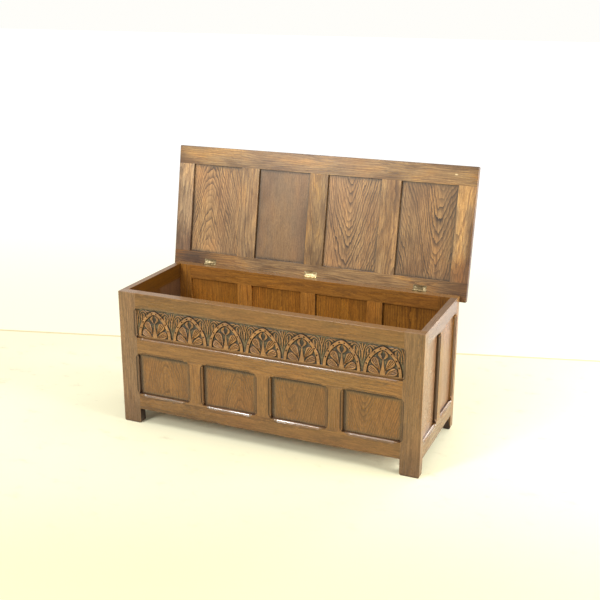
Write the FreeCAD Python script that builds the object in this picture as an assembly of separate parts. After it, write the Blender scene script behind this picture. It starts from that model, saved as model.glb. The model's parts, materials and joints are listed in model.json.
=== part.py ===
"""Joined oak coffer: four frame-and-panel walls on stile feet, a floor laid on
cleats, and a panelled lid hung on three brass butt hinges, shown thrown open.

Every timber, panel, hinge leaf and screw group is its own solid and its own file.
Walls and lid are drawn flat in a local frame (u along, d into the timber from its
show face, w up) and then stood in their place.  Units are millimetres, +Z is up,
+X runs along the chest and -Y is the front.
"""
import FreeCAD, Part
import math
import os

Vector = FreeCAD.Vector

# ---------------------------------------------------------------- driving dimensions
# carcase
body_width = 1172.0            # over the front stiles
body_depth = 450.0             # front face to back face
body_height = 522.0            # floor to rim
frame_thickness = 34.0         # front and back frames
side_thickness = 25.0          # side rails and side muntins
stile_width = 71.0             # the corner stiles, which run down as feet
foot_height = 60.0             # floor to the bottom rails
foot_rounding = 7.0            # worn lower corners of the feet
bottom_rail_width = 61.0
mid_rail_width = 64.0
top_rail_width = 59.0
frieze_height = 116.0          # opening for the carved panel
front_muntin_width = 61.0
back_top_rail_width = 55.0
back_muntin_width = 60.0
side_muntin_width = 57.0
wall_panels = 4                # lower panels across the front, and across the back
side_panels = 2                # panels in each side

# panels and the grooves that hold them
panel_thickness = 7.0
groove_depth = 9.0
groove_play = 0.1              # each face of a panel in its groove
panel_shrinkage_gap = 1.0      # panel edge to the bottom of its groove
front_panel_recess = 12.0      # show face of the frame to the panel
side_panel_recess = 13.0
back_panel_recess = 17.0

# mortise and tenon joints
tenon_thickness = 10.0
tenon_shoulder = 12.0          # step from the timber's edge to its tenon
rail_tenon_length = 34.0       # front and back rails into the stiles
muntin_tenon_length = 24.0
side_tenon_length = 18.0       # side rails into the stiles
side_tenon_thickness = 9.0
lid_tenon_length = 30.0
lid_tenon_thickness = 8.0
tenon_play = 0.1               # all round a tenon
tenon_end_gap = 1.0            # tenon end to mortise bottom

# stopped ovolo worked on the inner arrises of the front and side frames
ovolo_radius = 6.5
ovolo_quirk = 2.0              # depth of the little step at its back
ovolo_flat = 2.0               # flat between the step and the round
cutter_pilot_radius = 6.0      # plain middle of the cutter, which clears the arris
upright_stop = 16.0            # corner of an opening to where the cutter plunges
rail_stop = 26.0               # the same along the front rails

# carved frieze: a run of pointed arches
arch_count = 7
arch_gap = 3.0                 # between the feet of neighbouring arches
arch_band = 12.0               # width of the band round each arch
arch_head_room = 11.5          # apex to the top rail
frieze_base_strip = 7.0        # plain raised strip along the bottom
relief_height = 6.0            # bands and strip above the ground
leaf_height = 4.5
frieze_field_play = 0.5        # carved field to the frame round it
stem_foot_width = 20.0
stem_neck_width = 6.0
stem_head_room = 32.0          # top of a stem to the point of its arch, inside
leaf_length = 38.0
leaf_breadth = 19.0
leaf_places = (                # out from the stem, up from its foot, lean in degrees
    (33.0, 15.0, 25.0),
    (25.0, 42.0, 62.0))

# floor and its cleats
floor_thickness = 9.0
cleat_size = 20.0
cleat_foot_clearance = 8.0     # lower edge of the bottom rail to the cleats
floor_play = 0.5               # floor edge to the walls

# lid
lid_end_overhang = 24.0        # end of the carcase to the end of the lid
lid_front_overhang = 13.5
lid_back_overhang = 29.5
lid_thickness = 22.0
lid_rail_width = 71.0
lid_stile_width = 67.5
lid_muntin_width = 74.5
lid_panels = 4
lid_panel_recess = 10.0        # underside of the frame to the panel
lid_edge_radius = 2.5
lid_corner_radius = 4.0

# butt hinges
hinge_length = 51.0
hinge_inset = 147.5            # end of the carcase to the middle of an outer hinge
hinge_line_shift = -5.5        # the three stand a little left of centre
leaf_thickness = 1.6
leaf_reach = 19.0              # pin axis to the leaf's far edge
leaf_play = 0.2                # leaf in its recess
knuckle_radius = 3.2
knuckle_middle = 19.4          # the carcase leaf's knuckle
knuckle_gap = 0.2              # between neighbouring knuckles
knuckle_swing_gap = 0.5        # knuckle to the wood and plates that pass it
pin_radius = 1.5
pin_play = 0.04
hinge_gap = 0.6                # between the two leaves when the lid is shut
pivot_standoff = 4.0           # back face of the carcase to the pin axis
lid_rest_gap = 0.25            # open lid's lower arris to the back of the carcase

# countersunk screws, two to a leaf
screw_spacing = 31.0
screw_from_pin = 11.5
screw_head_radius = 2.8
screw_head_depth = 1.5
screw_shank_radius = 1.4
screw_length = 15.0
screw_slot_width = 0.8
screw_slot_depth = 0.6
screw_play = 0.05

# ---------------------------------------------------------------- places
half_width = body_width / 2
inner_u = half_width - stile_width                 # inner edge of the front stiles
rail_low = foot_height
lower_low = foot_height + bottom_rail_width         # lower openings
frieze_top = body_height - top_rail_width
frieze_low = frieze_top - frieze_height
lower_top = frieze_low - mid_rail_width
back_top = body_height - back_top_rail_width
inside_x = half_width - side_thickness              # inner faces of the side frames
lid_length = body_width + 2 * lid_end_overhang
lid_depth = body_depth + lid_front_overhang + lid_back_overhang
pivot_y = body_depth + pivot_standoff
pivot_z = body_height + hinge_gap / 2
lid_behind_pin = lid_back_overhang - pivot_standoff

# The open lid leans back until its rounded lower arris meets the carcase.
arris_run = lid_behind_pin - lid_edge_radius
arris_rise = hinge_gap / 2 + lid_edge_radius
arris_reach = pivot_standoff - lid_rest_gap - lid_edge_radius
lean = (math.asin(arris_reach / math.hypot(arris_run, arris_rise))
        + math.atan2(arris_rise, arris_run))
lid_opening = 90.0 + math.degrees(lean)

parts = {}


# ---------------------------------------------------------------- helpers
def block(u0, u1, d0, d1, w0, w1):
    """A rectangular solid between two corners of the local frame."""
    return Part.makeBox(u1 - u0, d1 - d0, w1 - w0, Vector(u0, d0, w0))


def join(shape, additions):
    return shape.fuse(additions).removeSplitter() if additions else shape


def carve(shape, cutters):
    """Cut away only what really meets the piece."""
    near = [c for c in cutters if c.BoundBox.intersect(shape.BoundBox)]
    return shape.cut(near) if near else shape


def stand(shape, origin, u, d, w):
    """Turn a piece from its local frame to its place on the chest."""
    return shape.transformed(FreeCAD.Matrix(
        u.x, d.x, w.x, origin.x,
        u.y, d.y, w.y, origin.y,
        u.z, d.z, w.z, origin.z,
        0, 0, 0, 1))


def round_edges(shape, radius, wanted):
    """Round the straight edges that the test picks by their middle and direction."""
    chosen = []
    for edge in shape.Edges:
        if len(edge.Vertexes) != 2:
            continue
        start, end = (v.Point for v in edge.Vertexes)
        if wanted((start + end) * 0.5, (end - start).normalize()):
            chosen.append(edge)
    return shape.makeFillet(radius, chosen) if chosen else shape


def openings_between(u_low, u_high, count, muntin_width, w0, w1):
    """Equal openings (u0, u1, w0, w1) with a muntin between each two."""
    width = (u_high - u_low - (count - 1) * muntin_width) / count
    step = width + muntin_width
    return [(u_low + i * step, u_low + i * step + width, w0, w1) for i in range(count)]


def grooves(openings, recess):
    """Slot round each opening, cut into whatever timber stands beside it."""
    return [block(u0 - groove_depth, u1 + groove_depth,
                  recess - groove_play, recess + panel_thickness + groove_play,
                  w0 - groove_depth, w1 + groove_depth)
            for u0, u1, w0, w1 in openings]


def panel(opening, recess):
    """Plain board whose edges run into the grooves."""
    u0, u1, w0, w1 = opening
    tongue = groove_depth - panel_shrinkage_gap
    return block(u0 - tongue, u1 + tongue, recess, recess + panel_thickness,
                 w0 - tongue, w1 + tongue)


def end_tenons(u0, u1, w0, w1, thickness, length, tenon, play=0.0, end_gap=0.0):
    """Tenons, or their mortises when play is given, on the two u ends of a rail."""
    middle = thickness / 2
    d0, d1 = middle - tenon / 2 - play, middle + tenon / 2 + play
    z0, z1 = w0 + tenon_shoulder - play, w1 - tenon_shoulder + play
    return [block(u0 - length - end_gap, u0, d0, d1, z0, z1),
            block(u1, u1 + length + end_gap, d0, d1, z0, z1)]


def upright_tenons(u0, u1, w0, w1, thickness, length, tenon, play=0.0, end_gap=0.0):
    """The same on the two w ends of a muntin or of a lid stile."""
    middle = thickness / 2
    d0, d1 = middle - tenon / 2 - play, middle + tenon / 2 + play
    x0, x1 = u0 + tenon_shoulder - play, u1 - tenon_shoulder + play
    return [block(x0, x1, d0, d1, w0 - length - end_gap, w0),
            block(x0, x1, d0, d1, w1, w1 + length + end_gap)]


def ovolo_run(start, end, inward):
    """Cutter for one stopped moulding.

    start and end are where the cutter plunges and lifts, on the arris, as (u, w).
    inward points from the arris across the face.  The round ends are those that a
    turning cutter leaves.
    """
    into = Vector(inward[0], 0, inward[1])
    deep = Vector(0, 1, 0)
    plunge = Vector(start[0], 0, start[1]) - into * cutter_pilot_radius
    lift = Vector(end[0], 0, end[1]) - into * cutter_pilot_radius
    outer = cutter_pilot_radius + ovolo_radius + ovolo_flat
    bottom = ovolo_quirk + ovolo_radius
    above = -1.0

    def at(radius, depth):
        return plunge + into * radius + deep * depth

    turn = math.radians(45)
    middle = at(cutter_pilot_radius + ovolo_radius * (1 - math.cos(turn)),
                bottom - ovolo_radius * math.sin(turn))
    corner = at(cutter_pilot_radius + ovolo_radius, ovolo_quirk)
    foot = at(cutter_pilot_radius, bottom)
    outline = Part.Wire([
        Part.makeLine(at(0, above), at(outer, above)),
        Part.makeLine(at(outer, above), at(outer, ovolo_quirk)),
        Part.makeLine(at(outer, ovolo_quirk), corner),
        Part.Arc(corner, middle, foot).toShape(),
        Part.makeLine(foot, at(0, bottom)),
        Part.makeLine(at(0, bottom), at(0, above))])
    face = Part.Face(outline)
    run = lift - plunge
    first = face.revolve(plunge, deep, 360)
    last = first.translated(run)
    return [face.extrude(run), first, last]


def opening_mouldings(opening, stop_u, stop_w):
    """Stopped ovolo for the four sides of an opening, keyed by the timber's side."""
    u0, u1, w0, w1 = opening
    return {
        "low": ovolo_run((u0 + stop_u, w0), (u1 - stop_u, w0), (0, -1)),
        "high": ovolo_run((u0 + stop_u, w1), (u1 - stop_u, w1), (0, 1)),
        "left": ovolo_run((u0, w0 + stop_w), (u0, w1 - stop_w), (-1, 0)),
        "right": ovolo_run((u1, w0 + stop_w), (u1, w1 - stop_w), (1, 0))}


def sides_of(mouldings, side):
    return [cutter for run in mouldings for cutter in run[side]]


# ---------------------------------------------------------------- frames on the chest
front_frame = (Vector(0, 0, 0), Vector(1, 0, 0), Vector(0, 1, 0), Vector(0, 0, 1))
back_frame = (Vector(0, body_depth, 0),
              Vector(-1, 0, 0), Vector(0, -1, 0), Vector(0, 0, 1))
right_frame = (Vector(half_width, 0, 0),
               Vector(0, 1, 0), Vector(-1, 0, 0), Vector(0, 0, 1))
left_frame = (Vector(-half_width, body_depth, 0),
              Vector(0, -1, 0), Vector(1, 0, 0), Vector(0, 0, 1))
lid_frame = (Vector(0, pivot_y + lid_behind_pin, body_height + hinge_gap),
             Vector(1, 0, 0), Vector(0, 0, 1), Vector(0, -1, 0))


# ---------------------------------------------------------------- side walls
def side_openings():
    return openings_between(frame_thickness, body_depth - frame_thickness,
                            side_panels, side_muntin_width, lower_low, frieze_top)


def side_rail_tenons(play=0.0, end_gap=0.0):
    tenons = []
    for w0, w1 in ((rail_low, lower_low), (frieze_top, body_height)):
        tenons += end_tenons(frame_thickness, body_depth - frame_thickness, w0, w1,
                             side_thickness, side_tenon_length, side_tenon_thickness,
                             play, end_gap)
    return tenons


def side_joinery():
    """What the side walls cut into the corner stiles, placed on the chest."""
    openings = side_openings()
    cutters = side_rail_tenons(tenon_play, tenon_end_gap)
    cutters += grooves(openings, side_panel_recess)
    cutters += opening_mouldings(openings[0], upright_stop, upright_stop)["left"]
    cutters += opening_mouldings(openings[-1], upright_stop, upright_stop)["right"]
    return [stand(c, *frame) for frame in (left_frame, right_frame) for c in cutters]


def side_wall(prefix, frame):
    openings = side_openings()
    slots = grooves(openings, side_panel_recess)
    runs = [opening_mouldings(o, upright_stop, upright_stop) for o in openings]
    u0, u1 = frame_thickness, body_depth - frame_thickness
    muntin_u = (openings[0][1], openings[1][0])
    muntin_box = (*muntin_u, lower_low, frieze_top)
    mortises = upright_tenons(*muntin_box, side_thickness, muntin_tenon_length,
                              side_tenon_thickness, tenon_play, tenon_end_gap)
    for name, w0, w1, edge in (("bottom_rail", rail_low, lower_low, "low"),
                               ("top_rail", frieze_top, body_height, "high")):
        tenons = end_tenons(u0, u1, w0, w1, side_thickness, side_tenon_length,
                            side_tenon_thickness)
        rail = join(block(u0, u1, 0, side_thickness, w0, w1), tenons)
        rail = carve(rail, slots + mortises + sides_of(runs, edge))
        parts[prefix + name] = stand(rail, *frame)
    muntin = join(block(*muntin_u, 0, side_thickness, lower_low, frieze_top),
                  upright_tenons(*muntin_box, side_thickness, muntin_tenon_length,
                                 side_tenon_thickness))
    muntin = carve(muntin, slots + runs[0]["right"] + runs[1]["left"])
    parts[prefix + "muntin"] = stand(muntin, *frame)
    near_front_first = openings if prefix.startswith("right") else openings[::-1]
    for name, opening in zip(("front_panel", "back_panel"), near_front_first):
        parts[prefix + name] = stand(panel(opening, side_panel_recess), *frame)


# ---------------------------------------------------------------- front and back walls
def round_feet(stile):
    """Ease the two lower corners of a stile, seen from the front."""
    return round_edges(stile, foot_rounding,
                       lambda middle, way: abs(way.y) > 0.99 and middle.z < 1)


def corner_stile(u0, u1, cutters, frame):
    """A stile with its own wall's joinery and that of the side wall behind it."""
    stile = round_feet(block(u0, u1, 0, frame_thickness, 0, body_height))
    stile = stand(carve(stile, cutters), *frame)
    return carve(stile, side_joinery())


def wall_rails(rails, slots, mortises):
    """Rails between the stiles; each is name: (w0, w1, moulding cutters)."""
    made = {}
    for name, (w0, w1, runs) in rails.items():
        tenons = end_tenons(-inner_u, inner_u, w0, w1, frame_thickness,
                            rail_tenon_length, tenon_thickness)
        rail = join(block(-inner_u, inner_u, 0, frame_thickness, w0, w1), tenons)
        made[name] = carve(rail, slots + mortises + runs)
    return made


def rail_mortises(rails):
    cutters = []
    for w0, w1, _ in rails.values():
        cutters += end_tenons(-inner_u, inner_u, w0, w1, frame_thickness,
                              rail_tenon_length, tenon_thickness,
                              tenon_play, tenon_end_gap)
    return cutters


def muntins_between(openings, width_of_frame, length, tenon):
    """Muntins with tenons, and the mortises they need, for a row of openings."""
    boxes = [(a[1], b[0], a[2], a[3]) for a, b in zip(openings, openings[1:])]
    solids = [join(block(u0, u1, 0, width_of_frame, w0, w1),
                   upright_tenons(u0, u1, w0, w1, width_of_frame, length, tenon))
              for u0, u1, w0, w1 in boxes]
    mortises = [m for box in boxes
                for m in upright_tenons(*box, width_of_frame, length, tenon,
                                        tenon_play, tenon_end_gap)]
    return solids, mortises


def front_wall():
    frieze = (-inner_u, inner_u, frieze_low, frieze_top)
    lower = openings_between(-inner_u, inner_u, wall_panels, front_muntin_width,
                             lower_low, lower_top)
    slots = grooves([frieze] + lower, front_panel_recess)
    frieze_run = opening_mouldings(frieze, rail_stop, upright_stop)
    lower_runs = [opening_mouldings(o, rail_stop, upright_stop) for o in lower]
    muntins, mortises = muntins_between(lower, frame_thickness, muntin_tenon_length,
                                        tenon_thickness)
    rails = {
        "front_top_rail": (frieze_top, body_height, frieze_run["high"]),
        "front_mid_rail": (lower_top, frieze_low,
                           frieze_run["low"] + sides_of(lower_runs, "high")),
        "front_bottom_rail": (rail_low, lower_low, sides_of(lower_runs, "low"))}
    for name, rail in wall_rails(rails, slots, mortises).items():
        parts[name] = stand(rail, *front_frame)
    for i, muntin in enumerate(muntins):
        edges = lower_runs[i]["right"] + lower_runs[i + 1]["left"]
        parts[f"front_muntin_{i + 1}"] = stand(carve(muntin, slots + edges), *front_frame)
    joinery = slots + rail_mortises(rails)
    parts["front_left_stile"] = corner_stile(
        -half_width, -inner_u,
        joinery + frieze_run["left"] + lower_runs[0]["left"], front_frame)
    parts["front_right_stile"] = corner_stile(
        inner_u, half_width,
        joinery + frieze_run["right"] + lower_runs[-1]["right"], front_frame)
    for i, opening in enumerate(lower):
        parts[f"front_panel_{i + 1}"] = stand(panel(opening, front_panel_recess),
                                              *front_frame)
    parts["carved_frieze_panel"] = stand(carved_panel(frieze), *front_frame)


def back_wall():
    openings = openings_between(-inner_u, inner_u, wall_panels, back_muntin_width,
                                lower_low, back_top)
    slots = grooves(openings, back_panel_recess)
    muntins, mortises = muntins_between(openings, frame_thickness, muntin_tenon_length,
                                        tenon_thickness)
    rails = {"back_top_rail": (back_top, body_height, []),
             "back_bottom_rail": (rail_low, lower_low, [])}
    for name, rail in wall_rails(rails, slots, mortises).items():
        parts[name] = stand(rail, *back_frame)
    joinery = slots + rail_mortises(rails)
    # Seen from the front, the left stile of the back stands at +u of its own frame.
    parts["back_left_stile"] = corner_stile(inner_u, half_width, joinery, back_frame)
    parts["back_right_stile"] = corner_stile(-half_width, -inner_u, joinery, back_frame)
    for i, muntin in enumerate(reversed(muntins)):
        parts[f"back_muntin_{i + 1}"] = stand(carve(muntin, slots), *back_frame)
    for i, opening in enumerate(reversed(openings)):
        parts[f"back_panel_{i + 1}"] = stand(panel(opening, back_panel_recess),
                                             *back_frame)


# ---------------------------------------------------------------- carved frieze
def pointed_arch(middle_u, foot_w, half_span, rise, depth0, depth1):
    """A pointed arch struck from two centres on its springing line."""
    radius = (rise ** 2 + half_span ** 2) / (2 * half_span)
    offset = radius - half_span
    half_turn = math.atan2(rise, offset) / 2
    apex = Vector(middle_u, depth0, foot_w + rise)
    left = Vector(middle_u - half_span, depth0, foot_w)
    right = Vector(middle_u + half_span, depth0, foot_w)
    bulge_u = radius * math.cos(half_turn) - offset
    bulge_w = radius * math.sin(half_turn)
    outline = Part.Wire([
        Part.Arc(left, Vector(middle_u - bulge_u, depth0, foot_w + bulge_w),
                 apex).toShape(),
        Part.Arc(apex, Vector(middle_u + bulge_u, depth0, foot_w + bulge_w),
                 right).toShape(),
        Part.makeLine(right, left)])
    return Part.Face(outline).extrude(Vector(0, depth1 - depth0, 0))


def leaf(middle_u, middle_w, lean_degrees, depth0, depth1):
    """One plain oval leaf standing up from the ground."""
    along = Vector(math.cos(math.radians(lean_degrees)), 0,
                   math.sin(math.radians(lean_degrees)))
    centre = Vector(middle_u, depth0, middle_w)
    across = Vector(0, 1, 0).cross(along)
    oval = Part.Ellipse(centre + along * (leaf_length / 2),
                        centre + across * (leaf_breadth / 2), centre)
    face = Part.Face(Part.Wire([oval.toShape()]))
    return face.extrude(Vector(0, depth1 - depth0, 0))


def stem(middle_u, foot_w, top_w, depth0, depth1):
    """The tapering stalk that the leaves spring from."""
    foot, neck = stem_foot_width / 2, stem_neck_width / 2
    corners = [Vector(middle_u - foot, depth0, foot_w),
               Vector(middle_u + foot, depth0, foot_w),
               Vector(middle_u + neck, depth0, top_w),
               Vector(middle_u - neck, depth0, top_w)]
    face = Part.Face(Part.makePolygon(corners + corners[:1]))
    return face.extrude(Vector(0, depth1 - depth0, 0))


def carved_panel(opening):
    """The frieze board: tongued edges, and a row of leaf-filled arches in relief."""
    u0, u1, w0, w1 = opening
    ground = front_panel_recess
    relief = ground - relief_height
    leaf_top = ground - leaf_height
    board = panel(opening, ground)
    strip = block(u0 + frieze_field_play, u1 - frieze_field_play, relief, ground,
                  w0 + frieze_field_play, w0 + frieze_base_strip)
    pitch = (u1 - u0) / arch_count
    foot_w = w0 + frieze_base_strip
    half_span = (pitch - arch_gap) / 2
    rise = w1 - arch_head_room - foot_w
    inner_span = half_span - arch_band
    radius = (rise ** 2 + half_span ** 2) / (2 * half_span)
    inner_rise = math.sqrt((radius - arch_band) ** 2 - (radius - half_span) ** 2)
    raised = [strip]
    for i in range(arch_count):
        middle = u0 + (i + 0.5) * pitch
        band = pointed_arch(middle, foot_w, half_span, rise, relief, ground)
        hollow = pointed_arch(middle, foot_w, inner_span, inner_rise,
                              relief - 1, ground)
        raised.append(band.cut(hollow))
        stem_top = foot_w + inner_rise - stem_head_room
        raised.append(stem(middle, foot_w, stem_top, leaf_top, ground))
        for out, up, tilt in leaf_places:
            raised.append(leaf(middle + out, foot_w + up, tilt, leaf_top, ground))
            raised.append(leaf(middle - out, foot_w + up, 180 - tilt, leaf_top, ground))
    return join(board, raised)


# ---------------------------------------------------------------- floor
def chest_floor():
    cleat_low = rail_low + cleat_foot_clearance
    cleat_top = cleat_low + cleat_size
    inner_front, inner_back = frame_thickness, body_depth - frame_thickness
    parts["front_floor_cleat"] = block(-inside_x, inside_x, inner_front,
                                       inner_front + cleat_size, cleat_low, cleat_top)
    parts["back_floor_cleat"] = block(-inside_x, inside_x, inner_back - cleat_size,
                                      inner_back, cleat_low, cleat_top)
    y0, y1 = inner_front + cleat_size, inner_back - cleat_size
    parts["left_floor_cleat"] = block(-inside_x, -inside_x + cleat_size, y0, y1,
                                      cleat_low, cleat_top)
    parts["right_floor_cleat"] = block(inside_x - cleat_size, inside_x, y0, y1,
                                       cleat_low, cleat_top)
    parts["floor_board"] = block(-inside_x + floor_play, inside_x - floor_play,
                                 inner_front + floor_play, inner_back - floor_play,
                                 cleat_top, cleat_top + floor_thickness)


# ---------------------------------------------------------------- lid
def lid_pieces():
    """All lid pieces in the shut position."""
    made = {}
    half = lid_length / 2
    low, high = lid_rail_width, lid_depth - lid_rail_width
    openings = openings_between(-half + lid_stile_width, half - lid_stile_width,
                                lid_panels, lid_muntin_width, low, high)
    slots = grooves(openings, lid_panel_recess)
    boxes = [(-half, -half + lid_stile_width, low, high)]
    boxes += [(a[1], b[0], low, high) for a, b in zip(openings, openings[1:])]
    boxes += [(half - lid_stile_width, half, low, high)]
    names = ["lid_left_stile"]
    names += [f"lid_muntin_{i + 1}" for i in range(lid_panels - 1)]
    names += ["lid_right_stile"]
    mortises = []
    for name, (u0, u1, w0, w1) in zip(names, boxes):
        upright = block(u0, u1, 0, lid_thickness, w0, w1)
        upright = round_edges(
            upright, lid_edge_radius,
            lambda middle, way: abs(way.z) > 0.99 and abs(abs(middle.x) - half) < 0.01)
        upright = join(upright, upright_tenons(u0, u1, w0, w1, lid_thickness,
                                               lid_tenon_length, lid_tenon_thickness))
        made[name] = carve(upright, slots)
        mortises += upright_tenons(u0, u1, w0, w1, lid_thickness, lid_tenon_length,
                                   lid_tenon_thickness, tenon_play, tenon_end_gap)
    for name, w0, w1, outer in (("lid_back_rail", 0, low, 0),
                                ("lid_front_rail", high, lid_depth, lid_depth)):
        rail = block(-half, half, 0, lid_thickness, w0, w1)
        rail = round_edges(
            rail, lid_corner_radius,
            lambda middle, way: abs(way.y) > 0.99 and abs(middle.z - outer) < 0.01)
        rail = round_edges(
            rail, lid_edge_radius,
            lambda middle, way: (abs(way.x) > 0.99 and abs(middle.z - outer) < 0.01)
            or (abs(way.z) > 0.99 and abs(abs(middle.x) - half) < 0.01))
        made[name] = carve(rail, slots + mortises)
    for i, opening in enumerate(openings):
        made[f"lid_panel_{i + 1}"] = panel(opening, lid_panel_recess)
    return {name: stand(shape, *lid_frame) for name, shape in made.items()}


def throw_open(shape):
    """Swing a shut lid piece back about the hinge pins to its rest."""
    turned = shape.copy()
    turned.rotate(Vector(0, pivot_y, pivot_z), Vector(1, 0, 0), -lid_opening)
    return turned


# ---------------------------------------------------------------- hinges
def hinge_places():
    reach = half_width - hinge_inset
    return [hinge_line_shift + i * reach for i in (-1, 0, 1)]


def bar_along_x(x0, x1, radius):
    """Round bar on the pin axis."""
    return Part.makeCylinder(radius, x1 - x0, Vector(x0, pivot_y, pivot_z),
                             Vector(1, 0, 0))


def leaf_levels(upper):
    """Height of a leaf's two faces, the upper leaf being the lid's."""
    inner = hinge_gap / 2
    outer = inner + leaf_thickness
    return (pivot_z + inner, pivot_z + outer) if upper else (pivot_z - outer,
                                                             pivot_z - inner)


def screw_points(x):
    return [(x - screw_spacing / 2, pivot_y - screw_from_pin),
            (x + screw_spacing / 2, pivot_y - screw_from_pin)]


def screw(x, y, upper, play=0.0):
    """Countersunk screw, head flush with the leaf's inner face."""
    up = 1 if upper else -1
    z = pivot_z + up * hinge_gap / 2
    way = Vector(0, 0, up)
    head = Part.makeCone(screw_head_radius + play, screw_shank_radius + play,
                         screw_head_depth, Vector(x, y, z), way)
    shank = Part.makeCylinder(screw_shank_radius + play, screw_length + play,
                              Vector(x, y, z), way)
    return head.fuse(shank).removeSplitter()


def slotted_screw(x, y, upper):
    up = 1 if upper else -1
    z = pivot_z + up * hinge_gap / 2
    z0, z1 = sorted((z - up * screw_slot_depth, z + up * screw_slot_depth))
    slot = block(x - screw_slot_width / 2, x + screw_slot_width / 2,
                 y - screw_head_radius, y + screw_head_radius, z0, z1)
    return screw(x, y, upper).cut(slot)


def knuckle_spans(x):
    """Stretches of the pin taken by the lid's knuckles and by the carcase's one."""
    half, middle = hinge_length / 2, knuckle_middle / 2
    lid = [(x - half, x - middle - knuckle_gap), (x + middle + knuckle_gap, x + half)]
    return lid, [(x - middle, x + middle)]


def hinge_leaf(x, upper):
    """A leaf plate with its knuckles rolled round the pin."""
    z0, z1 = leaf_levels(upper)
    lid_spans, body_spans = knuckle_spans(x)
    spans = lid_spans if upper else body_spans
    plate_end = pivot_y - knuckle_radius - knuckle_swing_gap
    plate = block(x - hinge_length / 2, x + hinge_length / 2,
                  pivot_y - leaf_reach, plate_end, z0, z1)
    arms = [block(a, b, plate_end - 1, pivot_y, z0, z1) for a, b in spans]
    barrels = [bar_along_x(a, b, knuckle_radius) for a, b in spans]
    solid = join(plate, arms + barrels)
    bore = bar_along_x(x - hinge_length, x + hinge_length, pin_radius + pin_play)
    return carve(solid, [bore] + [screw(a, b, upper, screw_play)
                                  for a, b in screw_points(x)])


def leaf_recess(x, upper):
    """Wood taken out to let a leaf in flush, and to clear the knuckles."""
    z0, z1 = leaf_levels(upper)
    if upper:
        z0 -= hinge_gap
    else:
        z1 += hinge_gap
    half = hinge_length / 2 + leaf_play
    bed = block(x - half, x + half, pivot_y - leaf_reach - leaf_play,
                pivot_y, z0, z1)
    swing = bar_along_x(x - half, x + half, knuckle_radius + knuckle_swing_gap)
    return [bed, swing] + [screw(a, b, upper, screw_play) for a, b in screw_points(x)]


def hang_the_lid():
    shut = lid_pieces()
    lid_cuts, body_cuts = [], []
    pins, lid_screws, body_screws = [], [], []
    for name, x in zip(("left", "middle", "right"), hinge_places()):
        parts[f"{name}_hinge_body_leaf"] = hinge_leaf(x, False)
        parts[f"{name}_hinge_lid_leaf"] = throw_open(hinge_leaf(x, True))
        lid_cuts += leaf_recess(x, True)
        body_cuts += leaf_recess(x, False)
        pins.append(bar_along_x(x - hinge_length / 2, x + hinge_length / 2, pin_radius))
        lid_screws += [slotted_screw(a, b, True) for a, b in screw_points(x)]
        body_screws += [slotted_screw(a, b, False) for a, b in screw_points(x)]
    shut["lid_back_rail"] = carve(shut["lid_back_rail"], lid_cuts)
    parts["back_top_rail"] = carve(parts["back_top_rail"], body_cuts)
    for name, shape in shut.items():
        parts[name] = throw_open(shape)
    parts["hinge_pins"] = Part.makeCompound(pins)
    parts["body_hinge_screws"] = Part.makeCompound(body_screws)
    parts["lid_hinge_screws"] = Part.makeCompound([throw_open(s) for s in lid_screws])


# ---------------------------------------------------------------- the whole chest
front_wall()
back_wall()
side_wall("left_side_", left_frame)
side_wall("right_side_", right_frame)
chest_floor()
hang_the_lid()

# The origin is on the floor, under the middle of the chest with its lid open.
box = FreeCAD.BoundBox()
for shape in parts.values():
    box.add(shape.optimalBoundingBox(False, False))
to_origin = Vector(-(box.XMin + box.XMax) / 2, -(box.YMin + box.YMax) / 2, -box.ZMin)

os.makedirs("parts", exist_ok=True)
for name, shape in parts.items():
    shape.translated(to_origin).exportStep(f"parts/{name}.step")

print("nodes", len(parts))
print("moved by", to_origin.x, to_origin.y, to_origin.z)
print("overall", box.XLength, box.YLength, box.ZLength)
print("pin axis y", pivot_y + to_origin.y, "z", pivot_z + to_origin.z)
print("lid opens to", lid_opening, "degrees")
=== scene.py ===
import bmesh
import bpy
import json
import math
import numpy as np
import random
from mathutils import Matrix, Vector, noise

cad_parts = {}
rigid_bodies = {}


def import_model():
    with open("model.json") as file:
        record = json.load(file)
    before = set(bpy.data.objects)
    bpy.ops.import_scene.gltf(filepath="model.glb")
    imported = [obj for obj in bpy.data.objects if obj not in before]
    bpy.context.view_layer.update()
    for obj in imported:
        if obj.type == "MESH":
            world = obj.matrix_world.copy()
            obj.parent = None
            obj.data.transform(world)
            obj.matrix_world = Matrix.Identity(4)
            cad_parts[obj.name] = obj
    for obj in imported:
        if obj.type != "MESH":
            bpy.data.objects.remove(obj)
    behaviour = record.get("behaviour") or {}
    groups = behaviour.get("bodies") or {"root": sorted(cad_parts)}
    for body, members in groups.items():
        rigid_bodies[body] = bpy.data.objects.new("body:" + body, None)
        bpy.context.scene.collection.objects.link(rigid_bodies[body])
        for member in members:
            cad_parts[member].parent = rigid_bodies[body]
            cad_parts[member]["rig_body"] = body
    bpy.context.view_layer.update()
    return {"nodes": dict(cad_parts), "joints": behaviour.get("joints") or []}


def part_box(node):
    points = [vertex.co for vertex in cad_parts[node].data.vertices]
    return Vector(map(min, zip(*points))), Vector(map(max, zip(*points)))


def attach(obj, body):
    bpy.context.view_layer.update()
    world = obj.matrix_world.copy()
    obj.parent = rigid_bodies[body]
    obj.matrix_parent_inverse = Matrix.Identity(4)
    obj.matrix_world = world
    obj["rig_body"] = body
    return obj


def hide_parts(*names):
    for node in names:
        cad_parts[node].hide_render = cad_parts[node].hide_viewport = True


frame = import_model()


# -------- where it is seen from
# The chest is seen from the front and a little from its right, looking down past the
# rim into the carcase.
eye = Vector((1.3329, -3.08, 1.578))
heading, dip, roll = -0.4013, 0.3162, 0.004
focal_length = 56.77

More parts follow.
